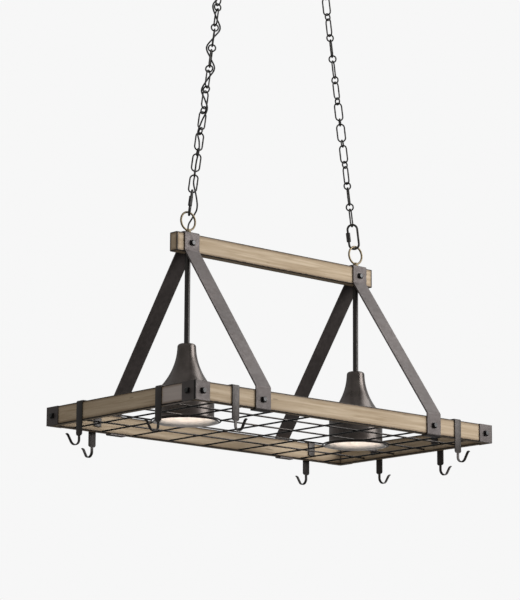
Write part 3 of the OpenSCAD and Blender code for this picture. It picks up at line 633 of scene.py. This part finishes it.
def hook_path():
    """Middle line of a hook's strip in mm, with its width at each point: outwards from the rail, and up."""
    fold_z = HOOK_SADDLE - HOOK_FOLD
    saddle = [Vector((-HOOK_SPAN, HOOK_LIP))]
    saddle += arc((HOOK_FOLD - HOOK_SPAN, fold_z), HOOK_FOLD, 180, 90)
    saddle += arc((-HOOK_FOLD, fold_z), HOOK_FOLD, 90, 0)
    neck = [(Vector((0, z)), width) for z, width in HOOK_NECK]
    belly = arc((HOOK_BELLY, HOOK_LOW + HOOK_BELLY), HOOK_BELLY, 180, 270 + HOOK_SLOPE, 14)
    way = heading(HOOK_SLOPE)
    rise = belly[-1] + way * HOOK_RISE
    flare = arc(rise + Vector((way.y, -way.x)) * HOOK_FLARE, HOOK_FLARE, 90 + HOOK_SLOPE, 90 + HOOK_TIP)
    tip = flare[-1] + heading(HOOK_TIP) * HOOK_TIP_L
    end = [(tip, HOOK_TAIL_W * 0.9), (tip + way * 0.9, HOOK_TAIL_W * 0.6)]
    return [(p, HOOK_W) for p in saddle] + neck + [(p, HOOK_TAIL_W) for p in belly + flare] + end


def bar_section(width, thickness):
    """Outline of a flat bar with rounded edges: across its width, and through it."""
    outline = []
    for x, y, start in ((1, 1, 0), (-1, 1, 90), (-1, -1, 180), (1, -1, 270)):
        centre = (x * (width / 2 - HOOK_EASE), y * (thickness / 2 - HOOK_EASE))
        outline += arc(centre, HOOK_EASE, start, start + 90, 3)
    return outline


def make_hook(name, material):
    """One bent strip over its rail, narrowing to a tail that rises to an open tip."""
    low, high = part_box(name)
    middle = (low + high) / 2
    on_long_rail = "hook_front" in name or "hook_back" in name
    axis = 1 if on_long_rail else 0
    sign = -1 if middle[axis] < 0 else 1
    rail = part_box("rail_back" if on_long_rail else "rail_right")[1][axis]
    out = Vector([sign if i == axis else 0 for i in range(3)])
    along = Vector([0 if i == axis else 1 for i in range(2)] + [0])
    base = out * (rail + HOOK_PLANE * MM) + along * middle[1 - axis] + Vector((0, 0, RAIL_LOW))
    path = hook_path()
    line = [point for point, width in path]
    mesh = bmesh.new()
    rings = []
    for i, (point, width) in enumerate(path):
        way = way_at(line, i)
        face = out * way.y - Vector((0, 0, way.x))
        centre = base + (out * point.x + Vector((0, 0, point.y))) * MM
        section = bar_section(width, HOOK_T)
        rings.append([mesh.verts.new(centre + (along * v + face * t) * MM) for v, t in section])
    skin_open(mesh, rings, False)
    piece = make_object("formed_" + name, mesh, material)
    round_shading(piece.data, 38)
    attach(piece, name)
    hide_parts(name)


# ---------- carried-over parts ----------

def round_shading(data, angle):
    """Smooth shading that keeps edges sharper than the angle."""
    data.shade_smooth()
    data.set_sharp_from_angle(angle=math.radians(angle))


def dress(nodes, material):
    for name in nodes:
        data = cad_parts[name].data
        data.materials.clear()
        data.materials.append(material)


def dress_all():
    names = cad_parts
    metals = {name: metal(name, **values) for name, values in METALS.items()}
    for name in ("rail_front", "rail_back", "top_beam"):
        dress([name], wood(name, 0))
    for name in ("rail_left", "rail_right"):
        dress([name], wood(name, 1))
    for name in [x for x in names if x.startswith("bracket_")]:
        low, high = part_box(name)
        corner = [max(low[i], high[i], key=abs) for i in range(2)]
        # painted shade along each bracket's outer bend
        dress([name], metal("pewter_" + name, **METALS["pewter"], shaded_bend=corner))
    for name in [x for x in names if x.startswith("hook_")]:
        dress([name], metals["hook_pewter"])
        make_hook(name, metals["hook_pewter"])
    for side in CHAIN_FACES:
        make_chain(side, metals["aged_chain"])
    dress([x for x in names if "chain_" in x or "quick" in x or "sleeve" in x], metals["aged_chain"])
    dress(["left_eye", "right_eye", "canopy_loops"], metals["antique_brass"])
    dress(["left_yoke", "right_yoke"], metals["pewter"])
    dress(["left_downrod", "right_downrod", "ceiling_canopy"], metals["dark_bronze"])
    dress([x for x in names if x.endswith("_bolts")], metals["black_bolt"])
    dress(["cross_wires"], metals["black_wire"])
    # painted sheen: the long wires and rings get a lighter copy of the black wire
    dress(["long_wires", "shade_rings"], metals["sheen_painted_wire"])
    dress(["threaded_pipes", "cap_nuts", "bar_nuts", "mounting_bar"], brushed("zinc_steel", ZINC, 0.3))
    porcelain = clouded("glazed_socket", PORCELAIN, 40.0, (0.1, 0.3 * MM), (0.2, 0.32))
    dress(["left_socket", "right_socket"], porcelain)
    dress(["left_bulb", "right_bulb"], bulb_material())
    dress(["left_shade"], shade_material(-1))
    dress(["right_shade"], shade_material(1))
    for name in names:
        round_shading(names[name].data, 30)


# ---------- light and floor ----------

def area_light(name, place, target, size, power):
    data = bpy.data.lights.new(name, "AREA")
    data.shape = "RECTANGLE"
    data.size, data.size_y = size
    data.energy = power
    light = bpy.data.objects.new(name, data)
    light.location = place
    light.rotation_euler = (Vector(target) - Vector(place)).to_track_quat("-Z", "Y").to_euler()
    bpy.context.scene.collection.objects.link(light)


def studio_world():
    """Pale backdrop, and for the light on the object a soft sky that is dim below and bright above."""
    world = bpy.data.worlds.new("studio")
    bpy.context.scene.world = world
    world.use_nodes = True
    tree = world.node_tree
    shown = tree.nodes["Background"]
    shown.inputs["Color"].default_value = BACKDROP
    way = tree.nodes.new("ShaderNodeTexCoord").outputs["Generated"]
    height = tree.nodes.new("ShaderNodeSeparateXYZ")
    tree.links.new(way, height.inputs[0])
    ramp = tree.nodes.new("ShaderNodeMapRange")
    ramp.interpolation_type = "SMOOTHSTEP"
    tree.links.new(height.outputs[2], ramp.inputs[0])
    for i, number in enumerate((-0.7, 0.5, SKY_LOW, SKY_HIGH)):
        ramp.inputs[i + 1].default_value = number
    sky = tree.nodes.new("ShaderNodeBackground")
    tree.links.new(ramp.outputs[0], sky.inputs["Strength"])
    path = tree.nodes.new("ShaderNodeLightPath")
    choice = tree.nodes.new("ShaderNodeMixShader")
    tree.links.new(path.outputs["Is Camera Ray"], choice.inputs[0])
    tree.links.new(sky.outputs[0], choice.inputs[1])
    tree.links.new(shown.outputs[0], choice.inputs[2])
    tree.links.new(choice.outputs[0], tree.nodes["World Output"].inputs["Surface"])


def make_floor():
    """Pale floor that neither tints nor reflects in the object."""
    mesh = bmesh.new()
    bmesh.ops.create_grid(mesh, x_segments=1, y_segments=1, size=FLOOR_SIZE)
    n = Nodes("pale_floor")
    pale = n.mix(n.noise(n.place, 1.5, 2.0), *FLOOR_TONES)
    n.set(Base_Color=pale, Roughness=0.8, Emission_Color=(1, 1, 1, 1), Emission_Strength=FLOOR_GLOW)
    floor = make_object("floor", mesh, n.material)
    floor.location.z = RAIL_LOW - FLOOR_BELOW_RAIL
    floor.visible_glossy = False
    floor.visible_diffuse = False


def make_light():
    """A large soft key from the front right and a smaller one from above it."""
    studio_world()
    bpy.context.scene.view_settings.view_transform = "Standard"
    middle = (0, 0, RAIL_LOW + 0.2)
    area_light("key", (2.4, -3.2, RAIL_LOW + 1.5), middle, (2.6, 2.0), KEY_POWER)
    area_light("top", (2.2, -0.9, RAIL_LOW + 2.8), middle, (1.8, 1.8), TOP_POWER)


make_camera()
make_cord()
dress_all()
make_floor()
make_light()
